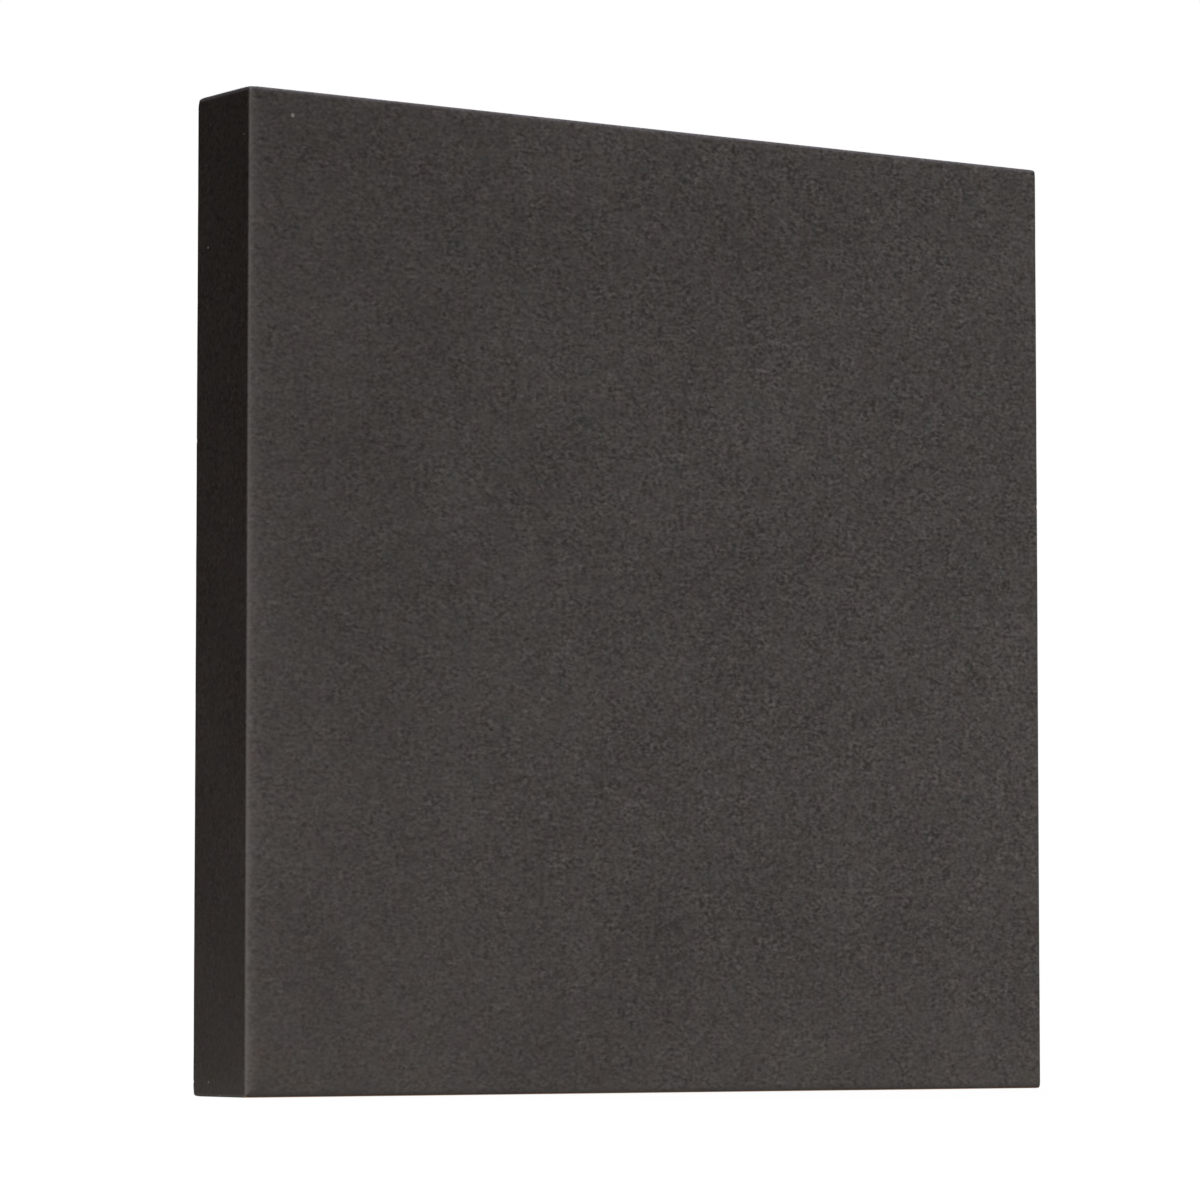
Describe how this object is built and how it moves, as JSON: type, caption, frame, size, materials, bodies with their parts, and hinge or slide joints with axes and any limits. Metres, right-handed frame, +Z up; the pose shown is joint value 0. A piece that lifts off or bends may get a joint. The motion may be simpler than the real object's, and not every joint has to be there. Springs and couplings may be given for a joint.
{
  "type": "granite slab",
  "caption": "Square black granite slab with a flat honed work face and small rubbed arrises, a heavy level base for leather tooling and punching.",
  "frame": {"origin": "centre of the lower edge face, on the surface that the slab stands on", "axes": "+Z up along the slab's height, +X along its width, +Y through its thickness from the work face to the back face"},
  "size_m": [0.305, 0.0306, 0.305],
  "materials": {
    "granite": "honed, dark warm grey, fine-grained"
  },
  "bodies": {
    "root": {"granite_slab": "granite"}
  },
  "joints": []
}
